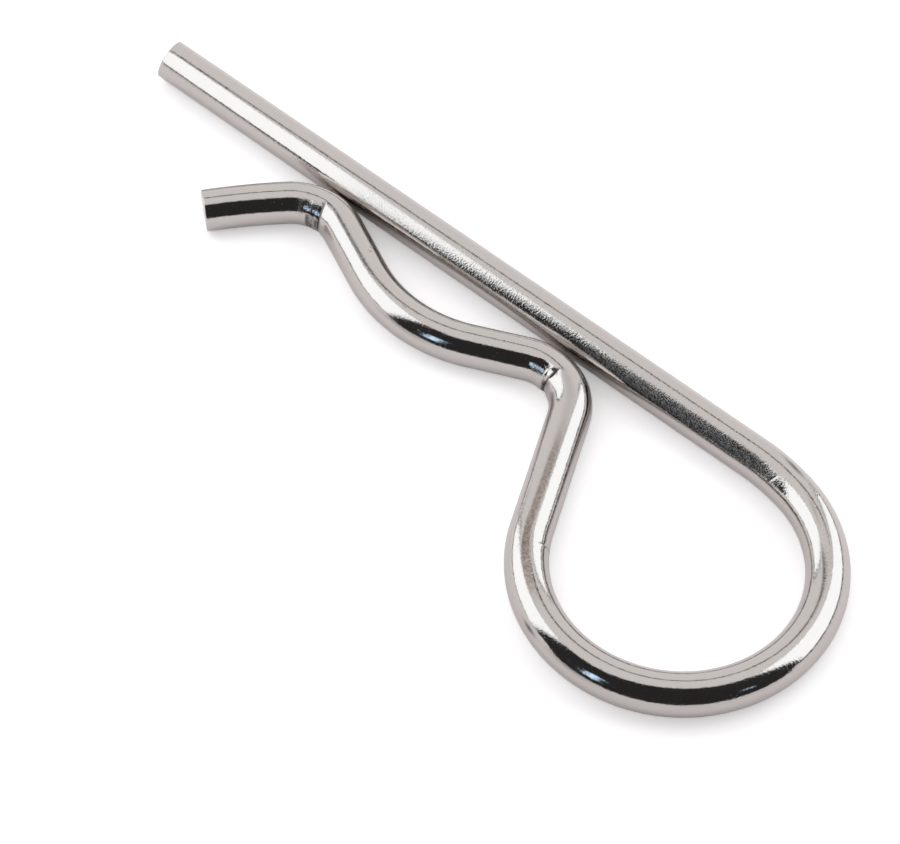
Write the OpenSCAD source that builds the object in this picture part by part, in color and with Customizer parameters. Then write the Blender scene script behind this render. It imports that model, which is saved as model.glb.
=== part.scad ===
// Hitch R clip: one length of round spring wire bent flat. The straight shank goes through a
// cross hole in a shaft, and the waved leg snaps round the outside of that shaft.
// Origin: where the shaft's axis crosses the shank's axis. +X runs along the shank to the loop,
// the waved leg lies on the -Y side, and Z is the shaft's direction.

/* [Wire] */
// Diameter of the round wire
wire_d = 5; // [3:0.1:6]
// Chamfer left round both cut ends
end_chamfer = 0.4; // [0.1:0.1:0.8]

/* [Shank] */
// Shaft axis to the shank's free end
free_len = 48.2; // [36:0.1:70]
// Shaft axis to the place where the shank starts to bend into the loop
root_len = 42.1; // [34:0.1:60]

/* [Loop] */
// Inside diameter of the loop, which is the diameter of its mandrel
loop_d = 28.1; // [24:0.1:34]
// Centreline radius of the gentle bend that leads the shank into the loop
lead_r = 23.5; // [18:0.5:40]
// Angle of that gentle bend
lead_angle = 11; // [5:1:20]

/* [Waved leg] */
// Radius of the shaft that just fills the grip between shank and hollow
grip_r = 8.3; // [7:0.1:11]
// Radius of the hollow's inner face, half the largest shaft it takes
hollow_r = 16; // [12:0.1:24]
// Shaft axis to the crest beside the loop, along the shank
inner_crest_x = 16.7; // [15:0.1:22]
// Shaft axis to the crest beside the tip, along the shank
outer_crest_x = 17.4; // [15:0.1:22]
// Clear gap between each crest and the shank
crest_gap = 0.6; // [0.6:0.1:2]
// Radius of the inside of each crest bend
crest_inside_r = 4.3; // [2:0.1:6]

/* [Flared tip] */
// Angle between the tip and the shank where the tip leaves its crest
tip_angle = 45; // [25:1:55]
// Length of the curled tip, along the wire
tip_len = 8.6; // [5:0.1:20]
// Radius of the slight curl along the tip
tip_curl_r = 75; // [40:1:200]

/* [Forming marks] */
// Depth of the crease that the forming die leaves inside each crest
crease_depth = 0.35; // [0.1:0.05:0.6]
// Angle between the two sides of the crease
crease_angle = 80; // [50:1:110]
// Straight wire left between two bends that follow each other
short_run = 1; // [0.5:0.1:2]
// How much the wire's radius draws down in every bend
bend_thinning = 0.01; // [0.01:0.01:0.05]

/* [Hidden] */
$fn = 64;
RIGHT = -1;
LEFT = 1;
wire_r = wire_d / 2;
lap = 0.01; // how far a straight run reaches into the bends at its ends
crest_r = crest_inside_r + wire_r;
crest_y = -(wire_d + crest_gap + crest_r);
loop_r = loop_d / 2 + wire_r;

// Each bend of the plane form as [centre x, centre y, centreline radius, turn]
lead = [root_len, -lead_r, lead_r, RIGHT];
loop = [
    lead.x + (lead_r - loop_r) * sin(lead_angle) + short_run * cos(lead_angle),
    lead.y + (lead_r - loop_r) * cos(lead_angle) - short_run * sin(lead_angle),
    loop_r,
    RIGHT
];
inner_crest = [inner_crest_x, crest_y, crest_r, LEFT];
hollow = [0, hollow_r - grip_r, hollow_r + wire_r, RIGHT];
outer_crest = [-outer_crest_x, crest_y, crest_r, LEFT];

// Sideways shift between two bends, seen along the straight run that joins them
function shift(a, b) = b[3] * b[2] - a[3] * a[2];
function distance(a, b) = norm([b.x - a.x, b.y - a.y]);
// Heading and length of the straight run that leaves bend a and enters bend b
function run_heading(a, b) = atan2(b.y - a.y, b.x - a.x) - asin(shift(a, b) / distance(a, b));
function run_len(a, b) = sqrt(distance(a, b) ^ 2 - shift(a, b) ^ 2);
// Angle turned from one heading to the next, always the way the bend goes
function turned(from, to, turn) = turn * (((turn * (to - from)) % 360 + 360) % 360);

return_heading = run_heading(loop, inner_crest);
fall_heading = run_heading(inner_crest, hollow);
rise_heading = run_heading(hollow, outer_crest);
tip_heading = 180 + tip_angle;

// The bending order from the free end: [straight run, bend radius, bend angle, creased by the die]
bends = [
    [free_len + root_len - end_chamfer, lead_r, -lead_angle, false],
    [short_run, loop_r, turned(-lead_angle, return_heading, RIGHT), false],
    [run_len(loop, inner_crest), crest_r, turned(return_heading, fall_heading, LEFT), true],
    [run_len(inner_crest, hollow), hollow[2], turned(fall_heading, rise_heading, RIGHT), false],
    [run_len(hollow, outer_crest), crest_r, turned(rise_heading, tip_heading, LEFT), true],
    [short_run, tip_curl_r, tip_len / tip_curl_r * 180 / PI, false]
];

// Straight wire from the origin along +X, with a lap at both ends
module straight(length) {
    translate([-lap, 0, 0]) rotate([0, 90, 0]) cylinder(h = length + 2 * lap, r = wire_r);
}

// Wire that starts at the origin along +X and turns left (angle > 0) or right (angle < 0)
module bend(r, angle) {
    translate([0, sign(angle) * r, 0])
        rotate(angle > 0 ? -90 : 90 + angle)
            rotate_extrude(angle = abs(angle)) translate([r, 0]) circle(r = wire_r - bend_thinning);
}

// Ring with a sharp inner edge round the middle of a bend. It sits off centre, towards the
// outside of the bend, so it bites deepest inside the bend and fades out over the top and bottom.
module crease_ring(r, angle) {
    reach = wire_r / 2;
    spread = reach * tan(crease_angle / 2);
    translate([0, sign(angle) * r, 0]) rotate(angle / 2)
        translate([0, -sign(angle) * (r + crease_depth), 0]) rotate([0, 90, 0])
            rotate_extrude()
                polygon([[wire_r, 0], [wire_r + reach, -spread], [wire_r + reach, spread]]);
}

// Last bit of the wire along +X: a lap into what comes before the origin, then the chamfered cut
module cut_end() {
    rotate([0, 90, 0]) rotate_extrude()
        polygon([
            [0, -lap],
            [wire_r, -lap],
            [wire_r, 0],
            [wire_r - end_chamfer, end_chamfer],
            [0, end_chamfer]
        ]);
}

// Draws the straight run and the bend number i, then from where they end the rest of the wire
module follow(i = 0) {
    if (i < len(bends)) {
        length = bends[i][0];
        r = bends[i][1];
        angle = bends[i][2];
        straight(length);
        translate([length, 0, 0]) {
            difference() {
                bend(r, angle);
                if (bends[i][3]) crease_ring(r, angle);
            }
            translate([r * sin(abs(angle)), sign(angle) * r * (1 - cos(angle)), 0])
                rotate(angle) follow(i + 1);
        }
    } else {
        cut_end();
    }
}

module clip_wire() {
    color("silver") translate([end_chamfer - free_len, 0, 0]) {
        rotate(180) cut_end();
        follow();
    }
}

clip_wire();
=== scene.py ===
# Hitch R clip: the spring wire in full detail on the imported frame, lying in a small studio.
import math

import bmesh
import bpy
from mathutils import Matrix, Vector, noise


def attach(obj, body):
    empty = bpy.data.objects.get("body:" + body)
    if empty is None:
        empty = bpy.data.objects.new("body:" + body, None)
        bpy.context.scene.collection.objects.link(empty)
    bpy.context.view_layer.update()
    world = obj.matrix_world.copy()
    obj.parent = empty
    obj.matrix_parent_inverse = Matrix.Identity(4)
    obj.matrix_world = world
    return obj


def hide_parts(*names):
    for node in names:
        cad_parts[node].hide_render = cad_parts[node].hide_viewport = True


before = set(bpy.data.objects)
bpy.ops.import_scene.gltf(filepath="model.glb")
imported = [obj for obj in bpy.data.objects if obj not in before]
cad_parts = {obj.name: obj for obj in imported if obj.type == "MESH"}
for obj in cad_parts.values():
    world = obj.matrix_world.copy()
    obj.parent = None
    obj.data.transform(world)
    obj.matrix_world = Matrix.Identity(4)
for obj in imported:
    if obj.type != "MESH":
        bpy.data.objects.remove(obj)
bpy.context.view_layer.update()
print("frame loaded")


# the wire: one round spring wire, drawn from the shank's free end to the waved leg's tip
wire = {
    "radius": 0.0025,
    "sides": 96,              # facets round the wire
    "coarseStep": 0.0005,     # ring spacing along plain stretches
    "fineStep": 0.00009,      # ring spacing at a mark
    # the stretches that carry marks, in diameters from the free end
    "fine": [(18.5, 19.4), (31.9, 32.2), (36.3, 37.75), (42.6, 43.1), (44.3, 45.15), (47.2, 48.0)],
    "freeEnd": -0.04807,      # the shank's end, from the shaft's axis
    "shankEnd": 0.0421,
    "leadRadius": 0.0235,
    "leadAngle": 11.0,
    "shortRun": 0.001,        # straight left between two bends
    "loopRadius": 0.01655,
    "crestRadius": 0.0068,
    "innerCrest": 0.0167,
    "outerCrest": 0.0174,
    "innerGap": 0.0006,       # clear gap between a crest and the shank
    "outerGap": 0.0003,
    "hollowRadius": 0.0185,
    "hollowCentre": 0.0077,
    "tipAngle": 45.0,
    "tipCurl": 0.075,
    "tipLength": 0.0087,
    "endRound": 0.00012,      # softening round the free end's cut
    "tipRound": 0.00014,      # and round the tip's
}


def planeForm(w):
    # the runs and bends in order, as (length, curvature): none for a straight run, positive for a left bend
    lead = math.radians(w["leadAngle"])
    drop = w["loopRadius"] - w["leadRadius"]
    loop = Vector((
        w["shankEnd"] - drop * math.sin(lead) + w["shortRun"] * math.cos(lead),
        -w["leadRadius"] - drop * math.cos(lead) - w["shortRun"] * math.sin(lead),
    ))
    crestY = -2 * w["radius"] - w["crestRadius"]
    inner = Vector((w["innerCrest"], crestY - w["innerGap"]))
    outer = Vector((-w["outerCrest"], crestY - w["outerGap"]))
    hollow = Vector((0.0, w["hollowCentre"]))

    def tangent(a, b, ra, rb):          # radii are positive where the wire turns left, negative where right
        gap = b - a
        heading = math.atan2(gap.y, gap.x) + math.asin((ra - rb) / gap.length)
        return heading, math.sqrt(gap.length ** 2 - (ra - rb) ** 2)

    def bend(radius, start, end):
        side = math.copysign(1.0, radius)
        return (abs(radius) * ((side * (end - start)) % (2 * math.pi)), 1 / radius)

    crest = w["crestRadius"]
    back, backRun = tangent(loop, inner, -w["loopRadius"], crest)
    fall, fallRun = tangent(inner, hollow, crest, -w["hollowRadius"])
    rise, riseRun = tangent(hollow, outer, -w["hollowRadius"], crest)
    flare = math.pi + math.radians(w["tipAngle"])
    return [
        (w["shankEnd"] - w["freeEnd"] - w["endRound"], 0.0),
        bend(-w["leadRadius"], 0.0, -lead),
        (w["shortRun"], 0.0),
        bend(-w["loopRadius"], -lead, back),
        (backRun, 0.0),
        bend(crest, back, fall),
        (fallRun, 0.0),
        bend(-w["hollowRadius"], fall, rise),
        (riseRun, 0.0),
        bend(crest, rise, flare),
        (w["shortRun"], 0.0),
        (w["tipLength"], 1 / w["tipCurl"]),
    ]


class Drawn:
    # the wire as it is drawn: the open ring, where it is, and where each vertex lies along and round it
    def __init__(self, w):
        self.w = w
        self.bm = bmesh.new()
        # a colour on each vertex: darkness from marks and from the painted shade in the creases, grain,
        # stain and dullness
        self.wear = self.bm.verts.layers.float_color.new("wear")
        self.place = Vector((w["freeEnd"] + w["endRound"], 0.0, 0.0))
        self.heading = 0.0
        self.along = w["endRound"]
        self.rows = {}            # vertex: (along, angle round, outward, ahead)
        facing = Matrix.Translation(self.place) @ Matrix.Rotation(math.radians(90), 4, "Y")
        ring = bmesh.ops.create_circle(self.bm, segments=w["sides"], radius=w["radius"], matrix=facing)
        self.edges = list({edge for vert in ring["verts"] for edge in vert.link_edges})
        self.note(ring["verts"])

    def note(self, verts):
        ahead = Vector((math.cos(self.heading), math.sin(self.heading), 0.0))
        left = Vector((-ahead.y, ahead.x, 0.0))
        for vert in verts:
            out = vert.co - self.place
            out -= ahead * out.dot(ahead)
            self.rows[vert] = (self.along, math.atan2(out.dot(left), out.z), out.normalized(), ahead)

    def nextRing(self):
        made = bmesh.ops.extrude_edge_only(self.bm, edges=self.edges)["geom"]
        verts = {item for item in made if isinstance(item, bmesh.types.BMVert)}
        edges = [item for item in made if isinstance(item, bmesh.types.BMEdge)]
        self.edges = [edge for edge in edges if edge.verts[0] in verts and edge.verts[1] in verts]
        return list(verts)

    def advance(self, step, curvature):
        verts = self.nextRing()
        ahead = Vector((math.cos(self.heading), math.sin(self.heading), 0.0))
        if curvature == 0.0:
            bmesh.ops.translate(self.bm, verts=verts, vec=ahead * step)
            self.place = self.place + ahead * step
        else:
            centre = self.place + Vector((-ahead.y, ahead.x, 0.0)) / curvature
            turn = Matrix.Rotation(step * curvature, 3, "Z")
            bmesh.ops.rotate(self.bm, verts=verts, cent=centre, matrix=turn)
            self.place = centre + turn @ (self.place - centre)
            self.heading += step * curvature
        self.along += step
        self.note(verts)

    def close(self, edges, centre, outward, profile):
        # closes an open end with narrower and narrower rings; profile is (inset, rise)
        self.edges = edges
        before = 0.0
        share = 1.0
        for inset, rise in profile:
            verts = self.nextRing()
            nextShare = 1.0 - inset / self.w["radius"]
            middle = centre + outward * before
            for vert in verts:
                vert.co = middle + (vert.co - middle) * (nextShare / share) + outward * (rise - before)
            self.note(verts)
            share, before = nextShare, rise
        bmesh.ops.pointmerge(self.bm, verts=verts, merge_co=centre + outward * rise)


def roundedEnd(radius, soft):
    # (inset, rise) of each ring: a quarter round at the edge and then a flat face to the middle
    corner = [(soft * (1 - math.cos(angle)), soft * math.sin(angle)) for angle in (0.3, 0.6, 0.9, 1.2, 1.5)]
    face = [(soft + (radius - soft) * share, soft) for share in (0.1, 0.3, 0.5, 0.7, 0.9, 0.97)]
    return corner + face


def drawWire(w):
    drawn = Drawn(w)
    firstEdges, startPlace = list(drawn.edges), drawn.place.copy()
    nothing = 1e-9            # what rounding may leave of a length
    for length, curvature in planeForm(w):
        end = drawn.along + length
        while drawn.along < end - nothing:
            here = drawn.along / (2 * w["radius"])
            fine = any(first <= here <= last for first, last in w["fine"])
            step = w["fineStep"] if fine else w["coarseStep"]
            left = end - drawn.along
            step = left if left < step * 1.5 else step       # the last step takes up the rest
            drawn.advance(step, curvature)
    lastEdges = list(drawn.edges)
    place, heading = drawn.place.copy(), drawn.heading
    print("wire length", round(drawn.along, 5), "rings", len(drawn.rows) // w["sides"])
    onward = Vector((math.cos(heading), math.sin(heading), 0.0))
    drawn.close(lastEdges, place, onward, roundedEnd(w["radius"], w["tipRound"]))
    drawn.place, drawn.heading, drawn.along = startPlace, 0.0, 0.0
    drawn.close(firstEdges, startPlace, Vector((-1.0, 0.0, 0.0)), roundedEnd(w["radius"], w["endRound"]))
    return drawn


def unwrap(drawn):
    # UVs in wire diameters: u along the wire, v round it, with the seam underneath
    bm = drawn.bm
    size = 2 * drawn.w["radius"]
    layer = bm.loops.layers.uv.new("alongRound")
    for face in bm.faces:
        spots = [drawn.rows.get(loop.vert, (0.0, 0.0))[:2] for loop in face.loops]
        crossing = max(s[1] for s in spots) - min(s[1] for s in spots) > math.pi
        for loop, (along, angle) in zip(face.loops, spots):
            if crossing and angle < 0:
                angle += 2 * math.pi
            loop[layer].uv = (along / size, angle / 2)


# what bending, cutting and use have left on the wire, and the painted shade along the bottoms of its
# creases: places along it and depths in diameters, places round it in degrees from the top, towards the
# left of the way it was drawn; four limits are where a mark starts, is full, is still full and ends
marks = {
    "lumps": (1800, 4200),    # scales of the unevenness inside a mark, per metre
    "darkWidth": 0.032,       # of the painted shade along the bottom of a crease, a dark line that is partly dark oxide
    "innerCrease": {
        "reach": (36.2, 37.7),
        # the last number on the next line sets the painted shade along the crease's bottom, partly dark
        # oxide
        "at": 36.92, "slope": 0.0005, "depth": 0.045, "before": 0.42, "after": 0.22, "grime": 1.0,
        "cutAround": (0, 28, 150, 178),
        "darkAround": (-2, 14, 110, 150),
        "blotchAlong": (36.84, 36.92, 37.06, 37.16), "blotchAround": (58, 72, 120, 140),
        "blotch": (0.85, 0.4),              # how dark it is, and how unevenly
        "rubbedAlong": (36.92, 36.95, 37.12, 37.22), "rubbedAround": (10, 20, 181, 182),
        "rubbedDepth": 0.006,
        "grainAlong": (37.1, 37.2, 37.5, 37.7), "grainAround": (34, 42, 181, 182), "grain": 0.4,
    },
    # a small facet before the inner crease, and the flat that was pressed after it
    "facet": {"from": 36.38, "to": 36.90, "middle": 33.0, "reach": 60, "depth": 0.03},
    "flat": {"start": (36.9, 37.1), "end": 37.68, "around": (14, 34, 75, 125),
             "deepest": 0.045, "bend": 0.20},
    "outerCrease": {
        "reach": (44.0, 45.4),
        # the last number on the next line sets the painted shade along the crease's bottom, partly dark
        # oxide
        "at": 44.60, "slope": -0.0024, "depth": 0.030, "before": 0.10, "after": 0.34, "grime": 0.85,
        "straightFrom": 78,                 # from here round, the crease runs square across the wire
        "cutAround": (2, 22, 125, 165),
        "darkAround": (0, 14, 100, 130),
        "blotchAlong": (44.38, 44.46, 44.92, 45.04), "blotchAround": (56, 68, 110, 128),
        "blotch": (0.70, 0.45), "blotchDepth": 0.008,
        "gapAt": 44.63, "gapWidth": 0.05, "gap": 0.35,      # a paler line through the blotch
        "grainAlong": (44.6, 44.7, 45.0, 45.4), "grainAround": (20, 30, 66, 80), "grain": 0.9,
    },
    "nick": {"at": 18.87, "slope": 0.0028, "middle": -44, "depth": 0.007, "width": 0.022,
             "around": (-62, -56, -32, -26)},
    "step": {"at": 32.05, "height": 0.010, "width": 0.03, "grime": 0.35, "around": (-98, -80, -36, -22)},
    # small dents: where along and round, length, width in degrees, depth, darkness
    "dents": [(42.80, -24.0, 0.035, 5.0, 0.006, 0.3), (42.93, -32.0, 0.02, 4.0, 0.005, 0.3),
              (40.95, 7.0, 0.03, 3.0, 0.004, 0.3), (42.20, 8.0, 0.03, 4.0, 0.005, 0.4),
              (25.30, 44.0, 0.05, 3.0, 0.002, 0.0), (29.35, 31.0, 0.02, 3.0, 0.004, 0.0),
              (33.50, -1.0, 0.02, 2.0, 0.004, 0.0), (47.10, 3.0, 0.05, 3.0, 0.003, 0.2)],
    # rubbed dark streaks: where along and round, length, width in degrees, slope, darkness
    "streaks": [(18.98, 25.5, 0.28, 5.0, -6.0, 0.9), (30.08, 61.0, 0.18, 5.0, 3.0, 0.95),
                (28.90, 59.0, 0.60, 4.0, -2.0, 0.35),
                (40.70, 62.0, 0.70, 3.0, -5.0, 0.4), (20.20, -8.0, 0.35, 3.0, -8.0, 0.3)],
    # grain along the shank, heavy at first and lighter towards the loop
    "shankGrain": {"along": (5.0, 10.0, 18.9, 19.3), "around": (-60, -54, -18, -10),
                   "light": 0.3, "lighter": (15.0, 12.5)},
    # the brownish streak on the return leg: it is gone and full this many degrees from a middle that drifts
    "stain": {"along": (30.2, 31.3, 34.2, 35.6), "edge": (12, 7), "at": 31.4, "middle": 5, "drift": -2},
    # the part of the return leg that is rubbed dull
    "dull": {"along": (31.4, 33.0, 36.8, 36.92), "around": (-12, -7, 14, 20)},
    "cutEdge": 0.001,         # nearer an end than this is the face of a cut, which has no marks
    "tipRoll": 0.025,         # how far the shear rolled the tip's underside back
    "tipRollLength": 0.3,     # and how much of the tip it bent
    "endBevel": 0.24,         # slope of the bevel that the cutter left on one side of the free end
    "endBevelTurn": -35.0,    # the side it is on
    "endBevelLength": 0.4,    # the wire's rings are drawn together over this much
}


def ease(start, end, x):
    t = min(1.0, max(0.0, (x - start) / (end - start)))
    return t * t * (3 - 2 * t)


def zone(x, limits):
    # from nothing at the outer limits to one between the inner two
    return ease(limits[0], limits[1], x) * ease(limits[3], limits[2], x)


def hump(x, width):
    return math.exp(-(x / width) ** 2)


def groove(m, s, around):
    # a sharp valley, and the painted shade along its bottom, partly dark oxide
    off = s - m["at"] - m["slope"] * around
    share = max(0.0, 1 - abs(off) / (m["before"] if off < 0 else m["after"]))
    return m["depth"] * share ** 2, m["grime"] * hump(off, marks["darkWidth"])


def innerCreaseWearAndShade(m, s, around, lump):
    depth = 0.0
    facet, flat = marks["facet"], marks["flat"]
    share = (s - facet["from"]) / (facet["to"] - facet["from"])
    turn = around - facet["middle"]
    if 0 < share < 1 and abs(turn) < facet["reach"]:
        level = 0.5 - facet["depth"] * share             # of the facet above the wire's middle
        depth += max(0.0, 0.5 - level / math.cos(math.radians(turn)))
    valley, dark = groove(m, s, around)
    depth += valley * zone(around, m["cutAround"])
    pressed = min(flat["deepest"], flat["bend"] * max(0.0, flat["end"] - s) ** 2) * ease(*flat["start"], s)
    depth += pressed * zone(around, flat["around"])
    grime = dark * zone(around, m["darkAround"])
    level, uneven = m["blotch"]
    grime += zone(s, m["blotchAlong"]) * zone(around, m["blotchAround"]) * (level + uneven * lump)
    rubbed = zone(s, m["rubbedAlong"]) * zone(around, m["rubbedAround"])
    depth += m["rubbedDepth"] * lump * rubbed
    grain = max(rubbed, m["grain"] * zone(s, m["grainAlong"]) * zone(around, m["grainAround"]))
    return depth, grime, grain


def outerCreaseWearAndShade(m, s, around, lump):
    valley, dark = groove(m, s, min(around, m["straightFrom"]))
    depth = valley * zone(around, m["cutAround"])
    grime = dark * zone(around, m["darkAround"])
    blotch = zone(s, m["blotchAlong"]) * zone(around, m["blotchAround"])
    level, uneven = m["blotch"]
    depth += m["blotchDepth"] * blotch * lump
    grime += blotch * (level - m["gap"] * hump(s - m["gapAt"], m["gapWidth"]) + uneven * lump)
    grain = m["grain"] * zone(s, m["grainAlong"]) * zone(around, m["grainAround"])
    return depth, grime, grain


def nickAndStep(s, around):
    nick, step = marks["nick"], marks["step"]
    off = s - nick["at"] - nick["slope"] * (around - nick["middle"])
    depth = nick["depth"] * hump(off, nick["width"]) * zone(around, nick["around"])
    ridge = hump(s - step["at"], step["width"]) * zone(around, step["around"])
    return depth - step["height"] * ridge, step["grime"] * ridge


def smallMarks(s, around):
    depth = grime = 0.0
    for middle, turn, length, width, deep, dark in marks["dents"]:
        if abs(s - middle) < 3 * length:
            share = hump(s - middle, length) * hump(around - turn, width)
            depth += deep * share
            grime += dark * share
    for middle, turn, length, width, slope, dark in marks["streaks"]:
        if abs(s - middle) < 3 * length:
            grime += dark * hump(s - middle, length) * hump(around - turn - slope * (s - middle), width)
    return depth, grime


def wearAndShadeAt(s, around, place):
    # how far in the surface lies, how dark it is from marks and from the painted shade in the creases, how
    # grainy, how stained, how dull
    coarse, fine = marks["lumps"]
    lump = noise.noise(place * coarse) + 0.5 * noise.noise(place * fine)
    g = marks["shankGrain"]
    heaviness = g["light"] + (1 - g["light"]) * ease(*g["lighter"], s)
    grain = zone(s, g["along"]) * heaviness * zone(around, g["around"])
    depth = grime = 0.0
    for name, wearAndShadeOf in (("innerCrease", innerCreaseWearAndShade), ("outerCrease", outerCreaseWearAndShade)):
        crease = marks[name]
        if crease["reach"][0] < s < crease["reach"][1]:
            depth, grime, creaseGrain = wearAndShadeOf(crease, s, around, lump)
            grain = max(grain, creaseGrain)
    for more, darker in (nickAndStep(s, around), smallMarks(s, around)):
        depth += more
        grime += darker
    t, d = marks["stain"], marks["dull"]
    middle = t["middle"] + t["drift"] * (s - t["at"])
    stain = zone(s, t["along"]) * ease(*t["edge"], abs(around - middle))
    dull = zone(s, d["along"]) * zone(around, d["around"])
    return depth, (max(0.0, min(1.0, grime)), grain, stain, dull)


def wearAndShadeIn(drawn):
    size = 2 * drawn.w["radius"]
    total = max(row[0] for row in drawn.rows.values()) / size
    edge = marks["cutEdge"]
    rollStart = total - marks["tipRollLength"]
    bevelEnd = marks["endBevelLength"]
    turn = math.radians(marks["endBevelTurn"])
    bevelSide = Vector((0.0, math.sin(turn), math.cos(turn)))
    for vert, (along, angle, out, ahead) in drawn.rows.items():
        if not vert.is_valid:
            continue
        s = along / size
        depth, wornAndShaded = wearAndShadeAt(s, math.degrees(angle), vert.co)
        if edge <= s <= total - edge:
            vert.co -= out * depth * size
        if s > rollStart:
            under = max(0.0, -vert.co.z / drawn.w["radius"])
            vert.co -= ahead * marks["tipRoll"] * size * under ** 2 * ease(rollStart, total, s)
        if s < bevelEnd:
            vert.co.x += marks["endBevel"] * max(0.0, vert.co.dot(bevelSide)) * ease(bevelEnd, 0.0, s)
        vert[drawn.wear] = wornAndShaded


def makeWire(w):
    drawn = drawWire(w)
    wearAndShadeIn(drawn)
    bmesh.ops.recalc_face_normals(drawn.bm, faces=drawn.bm.faces)
    unwrap(drawn)
    mesh = bpy.data.meshes.new("springWire")
    drawn.bm.to_mesh(mesh)
    drawn.bm.free()
    mesh.polygons.foreach_set("use_smooth", [True] * len(mesh.polygons))
    clip = bpy.data.objects.new("springWire", mesh)
    bpy.context.scene.collection.objects.link(clip)
    print("wire made,", len(mesh.polygons), "faces")
    return clip


# shader maths as plain expressions
class Socket:
    def __init__(self, tree, plug):
        self.tree = tree
        self.plug = plug

    def node(self, kind, settings, inputs, output=0):
        made = self.tree.nodes.new(kind)
        for name, value in settings.items():
            if name == "stops":
                ramp = made.color_ramp
                while len(ramp.elements) < len(value):
                    ramp.elements.new(0.5)
                for element, (spot, shade) in zip(ramp.elements, value):
                    element.position = spot
                    element.color = (shade, shade, shade, 1)
            else:
                setattr(made, name, value)
        for name, value in inputs.items():
            if isinstance(value, Socket):
                self.tree.links.new(value.plug, made.inputs[name])
            else:
                made.inputs[name].default_value = value
        return Socket(self.tree, made.outputs[output])

    def maths(self, operation, first, second):
        return self.node("ShaderNodeMath", {"operation": operation}, {0: first, 1: second})

    def __add__(self, other):
        return self.maths("ADD", self, other)

    def __radd__(self, other):
        return self.maths("ADD", other, self)

    def __sub__(self, other):
        return self.maths("SUBTRACT", self, other)

    def __rsub__(self, other):
        return self.maths("SUBTRACT", other, self)

    def __mul__(self, other):
        return self.maths("MULTIPLY", self, other)

    def __rmul__(self, other):
        return self.maths("MULTIPLY", other, self)


def newMaterial(name):
    material = bpy.data.materials.new(name)
    material.use_nodes = True
    material.node_tree.nodes.clear()
    return material, Socket(material.node_tree, None)


steel = {
    "colour": (0.555, 0.517, 0.497, 1),
    # the dark colour of the marks, also used for the painted shade along the crease bottoms
    "shadeAndGrimeColour": (0.05, 0.044, 0.041, 1),
    "stainColour": (0.31, 0.25, 0.22, 1),
    "roughness": 0.045,
    # each cloud is its fineness per millimetre, its detail, and its ramp as (value, level)
    "ridges": (4.6, 2.0),     # the drawn surface's grain
    "ridgeDepth": 0.000010,
    "heavyGrain": 2.3,        # how many times deeper it is where it is heavy
    "specks": (3.8, 3.0, [(0.60, 0.0), (0.68, 1.0)]),       # sparse dull specks
    "speck": 0.15,            # roughness added by a speck
    "pits": (11.5, 1.0, [(0.46, 0.0), (0.66, 1.0)]),        # close fine pits in the grainy parts
    "pit": 0.42,
    "pitShare": [(0.0, 0.2), (0.3, 1.0), (0.9, 0.25)],      # how much they count, by how grainy it is
    "patches": (2.5, 3.0, [(0.40, 0.6), (0.58, 1.0)]),      # unevenness of the stain
    "dull": 0.26,             # roughness added where the wire is rubbed dull
    "shadeAndGrimeRoughness": 0.25,
}


def springSteel(s):
    material, start = newMaterial("springSteel")
    # the per-vertex colour: darkness from marks and painted shade, grain, stain, and in alpha the rubbing
    wear = start.node("ShaderNodeAttribute", {"attribute_name": "wear"}, {}, "Color")
    grime, grain, stain = [start.node("ShaderNodeSeparateColor", {}, {"Color": wear}, i) for i in range(3)]
    rubbed = start.node("ShaderNodeAttribute", {"attribute_name": "wear"}, {}, "Alpha")
    place = start.node("ShaderNodeTexCoord", {}, {}, "Object")
    inMillimetres = start.node("ShaderNodeMapping", {}, {"Vector": place, "Scale": (1000, 1000, 1000)})

    def ramp(value, stops):
        return start.node("ShaderNodeValToRGB", {"stops": stops}, {"Fac": value})

    def cloud(scale, detail, stops=None):
        inputs = {"Vector": inMillimetres, "Scale": scale, "Detail": detail}
        made = start.node("ShaderNodeTexNoise", {}, inputs)
        return ramp(made, stops) if stops else made

    def blend(share, under, over):       # by number, because the node has a set of sockets for each kind
        return start.node("ShaderNodeMix", {"data_type": "RGBA"}, {0: share, 6: under, 7: over}, 2)

    height = cloud(*s["ridges"]) * (grain * (s["heavyGrain"] - 1.0) + 1.0)
    shape = {"Height": height, "Distance": s["ridgeDepth"], "Strength": 1.0}
    relief = start.node("ShaderNodeBump", {}, shape)
    stained = blend(stain * cloud(*s["patches"]), s["colour"], s["stainColour"])
    pitted = cloud(*s["pits"]) * ramp(grain, s["pitShare"]) * s["pit"]
    dull = cloud(*s["specks"]) * s["speck"] + pitted + rubbed * s["dull"]
    # the darkness mask darkens the colour, painting the shade in the creases as well as the marks
    surface = start.node("ShaderNodeBsdfPrincipled", {}, {
        "Base Color": blend(grime, stained, s["shadeAndGrimeColour"]),
        "Metallic": 1.0,
        "Roughness": dull + grime * s["shadeAndGrimeRoughness"] + s["roughness"],
        "Normal": relief,
    })
    start.tree.links.new(surface.plug, start.tree.nodes.new("ShaderNodeOutputMaterial").inputs[0])
    return material


clip = makeWire(wire)
clip.data.materials.append(springSteel(steel))
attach(clip, "root")
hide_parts("clip_wire")


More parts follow.
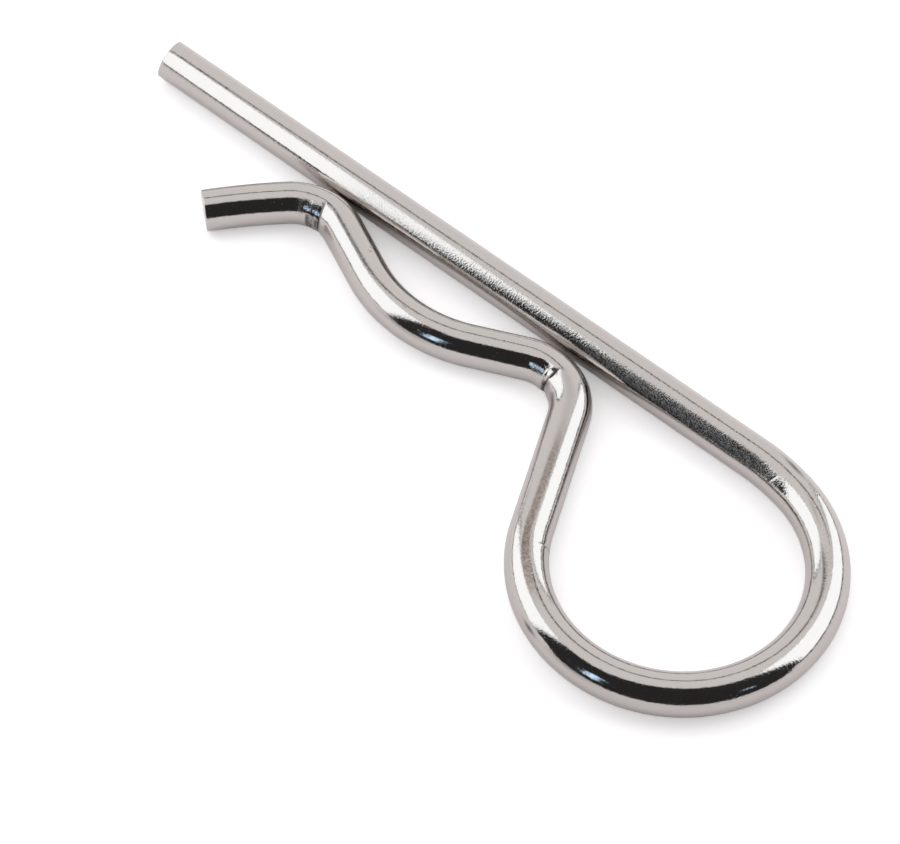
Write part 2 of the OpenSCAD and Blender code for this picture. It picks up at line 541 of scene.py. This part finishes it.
# the studio, laid out from the clip's middle on the floor: x to the right of the camera, y away from it
studio = {
    "centre": (0.0119229, -0.0173188, -0.0025),
    "turn": 40.124,           # of the camera's right, from the shank
    "distance": 0.397635,
    "elevation": 54.6593,
    "roll": 0.7424,
    "lens": 139.771,
    # soft lights: up the near edge, then back along the top and down the far edge
    "leftLight": [(-0.150, -0.041, 0.046), (-0.150, -0.037, 0.120), (-0.150, -0.027, 0.195),
                  (-0.150, -0.015, 0.250), (-0.150, 0.001, 0.310), (-0.150, 0.013, 0.385),
                  (-0.150, 0.182, 0.352), (-0.150, 0.150, 0.048)],
    "leftNear": 6,            # how many of the corners are on the near edge
    "rightLight": [(0.135, -0.067, 0.030), (0.135, -0.063, 0.130), (0.135, -0.047, 0.240),
                   (0.135, -0.030, 0.285), (0.135, 0.135, 0.270), (0.135, 0.126, 0.034)],
    "rightNear": 4,
    "lightLevel": 1.84,
    "lightColour": (0.927, 0.979, 1.0, 1),
    # width of the black edging at each corner of a light
    "leftRim": [0.004, 0.018, 0.018, 0.018, 0.018, 0.018, 0.018, 0.018],
    "rightRim": [0.012, 0.018, 0.018, 0.018, 0.018, 0.012],
    # the black hood round the camera: its edge between the lights, and the bearings of its foot
    "hoodEdge": [(-0.122, 0.012, 0.314), (-0.104, 0.008, 0.314), (-0.104, -0.015, 0.314),
                 (-0.078, -0.046, 0.314), (0.000, -0.048, 0.314), (0.110, -0.044, 0.314)],
    "hoodFoot": [204, 204, 204, 204, 205, 205, 206, 207, 210, 222, 270, 322, 328, 331, 333, 334],
    "hoodFootHeight": 4.0,
    "hoodFootDistance": 2.0,
    "hoodDepth": 8.0,         # how many times further off the hood's back is than its edge
    "hoodSplit": 10,          # this many of its panels, from the left, let light through to the floor
    "hoodLevel": 0.032,
    "batten": [(-0.140, 0.208, 0.300), (0.128, 0.208, 0.300)],
    "battenWidth": 0.026,
    "battenTilt": (0, 0.8, -0.6),
    # windows: bearing, height, width, depth, level
    "windows": [(224.5, 31.5, 8.0, 20.0, 2.05), (312.0, 29.5, 2.5, 7.0, 1.3)],
    "windowColour": (0.565, 0.775, 1.0, 1),
    "airLevel": 1.2,          # what the pale air gives a matt surface; it is seen as plain white
    "floorSize": 6.0,
    "floorColour": (0.908, 0.870, 0.870, 1),
    "floorLift": 0.33,        # what the floor adds where it is looked at straight
    "floorGleam": 0.02,       # and in a reflection
}
toStudio = Matrix.Translation(studio["centre"]) @ Matrix.Rotation(math.radians(studio["turn"]), 4, "Z")


def stageMesh(name, faces, material, seen=False):
    # each face is a list of corners in the studio's own axes
    bm = bmesh.new()
    for corners in faces:
        bm.faces.new([bm.verts.new(toStudio @ Vector(corner)) for corner in corners])
    mesh = bpy.data.meshes.new(name)
    bm.to_mesh(mesh)
    bm.free()
    mesh.materials.append(material)
    thing = bpy.data.objects.new(name, mesh)
    thing.visible_camera = seen
    bpy.context.scene.collection.objects.link(thing)
    return thing


def plainGlow(name, level, colour=(1, 1, 1, 1)):
    material, start = newMaterial(name)
    light = start.node("ShaderNodeEmission", {}, {"Color": colour, "Strength": level})
    start.tree.links.new(light.plug, start.tree.nodes.new("ShaderNodeOutputMaterial").inputs[0])
    return material


def rays(start, kinds):
    # one where the surface is looked at by one of these kinds of ray
    found = [start.node("ShaderNodeLightPath", {}, {}, "Is " + kind + " Ray") for kind in kinds]
    return sum(found[1:], found[0])


def paleFloor(s):
    material, start = newMaterial("paleFloor")
    straight = rays(start, ["Camera"]) * s["floorLift"]
    mirrored = rays(start, ["Glossy", "Transmission"]) * s["floorGleam"]
    lift = start.node("ShaderNodeEmission", {}, {"Color": (1, 1, 1, 1), "Strength": straight + mirrored})
    board = start.node("ShaderNodeBsdfDiffuse", {}, {"Color": s["floorColour"]})
    both = start.tree.nodes.new("ShaderNodeAddShader")
    start.tree.links.new(lift.plug, both.inputs[0])
    start.tree.links.new(board.plug, both.inputs[1])
    start.tree.links.new(both.outputs[0], start.tree.nodes.new("ShaderNodeOutputMaterial").inputs[0])
    return material


def paleAir(s):
    world = bpy.data.worlds.new("studioAir")
    world.use_nodes = True
    world.node_tree.nodes.clear()
    start = Socket(world.node_tree, None)
    seen = rays(start, ["Camera", "Glossy", "Transmission"])
    level = s["airLevel"] - (s["airLevel"] - 1.0) * seen
    air = start.node("ShaderNodeBackground", {}, {"Color": (1, 1, 1, 1), "Strength": level})
    start.tree.links.new(air.plug, start.tree.nodes.new("ShaderNodeOutputWorld").inputs[0])
    bpy.context.scene.world = world


def softLight(name, corners, rims, glow, cloth):
    corners = [Vector(c) for c in corners]
    stageMesh(name, [corners], glow)
    centre = sum(corners, Vector()) / len(corners)
    outer = [c + (c - centre).normalized() * rim for c, rim in zip(corners, rims)]
    rim = [[corners[i - 1], outer[i - 1], outer[i], corners[i]] for i in range(len(corners))]
    stageMesh(name + "Rim", rim, cloth)


def bearing(angle, height, distance):
    # a point as seen from the clip's middle: its bearing from the camera's right and its height, in degrees
    angle, height = math.radians(angle), math.radians(height)
    level = math.cos(height)
    return Vector((math.cos(angle) * level, math.sin(angle) * level, math.sin(height))) * distance


def makeHood(s, cloth):
    edge = s["leftLight"][:s["leftNear"]] + s["hoodEdge"] + s["rightLight"][:s["rightNear"]][::-1]
    edge = [Vector(corner) for corner in edge]
    back = [corner * s["hoodDepth"] for corner in edge]
    foot = [bearing(angle, s["hoodFootHeight"], s["hoodFootDistance"]) for angle in s["hoodFoot"]]
    pairs = range(len(edge) - 1)
    sides = [[edge[i], edge[i + 1], back[i + 1], back[i]] for i in pairs]
    front = [[back[i], back[i + 1], foot[i + 1], foot[i]] for i in pairs]
    split = s["hoodSplit"]
    hoodLeft = stageMesh("hoodLeft", sides[:split] + front[:split], cloth)
    hoodLeft.visible_diffuse = False     # it darkens the shine only, and lets light through to the floor
    stageMesh("hoodRight", sides[split:] + front[split:], cloth)


def makeStudio(s):
    half = s["floorSize"] / 2
    corners = [(-half, -half, 0), (half, -half, 0), (half, half, 0), (-half, half, 0)]
    stageMesh("floor", [corners], paleFloor(s), seen=True)
    glow = plainGlow("lightCloth", s["lightLevel"], s["lightColour"])
    cloth = plainGlow("blackCloth", s["hoodLevel"])
    softLight("leftLight", s["leftLight"], s["leftRim"], glow, cloth)
    softLight("rightLight", s["rightLight"], s["rightRim"], glow, cloth)
    makeHood(s, cloth)
    a, b = (Vector(end) for end in s["batten"])
    wide = Vector(s["battenTilt"]) * s["battenWidth"] / 2
    stageMesh("batten", [[a - wide, b - wide, b + wide, a + wide]], cloth)
    for angle, height, width, depth, level in s["windows"]:
        corners = [(-1, -1), (1, -1), (1, 1), (-1, 1)]
        pane = [bearing(angle + width / 2 * i, height + depth / 2 * j, 1.0) for i, j in corners]
        stageMesh("window", [pane], plainGlow("windowLight", level, s["windowColour"]))
    paleAir(s)


def makeCamera(s):
    tilt = math.radians(s["elevation"])
    back = toStudio.to_3x3() @ Vector((0.0, -math.cos(tilt), math.sin(tilt)))
    right = (-back).cross(Vector((0, 0, 1))).normalized()
    up = right.cross(-back)
    roll = math.radians(s["roll"])
    right, up = right * math.cos(roll) + up * math.sin(roll), up * math.cos(roll) - right * math.sin(roll)
    camera = bpy.data.objects.new("camera", bpy.data.cameras.new("camera"))
    camera.data.lens = s["lens"]
    camera.data.sensor_width = 36
    camera.data.clip_start, camera.data.clip_end = 0.01, 20
    place = Vector(s["centre"]) + back * s["distance"]
    camera.matrix_world = Matrix.Translation(place) @ Matrix((right, up, back)).transposed().to_4x4()
    bpy.context.scene.collection.objects.link(camera)
    bpy.context.scene.camera = camera


makeStudio(studio)
makeCamera(studio)
bpy.context.scene.view_settings.view_transform = "Standard"
print("studio made")
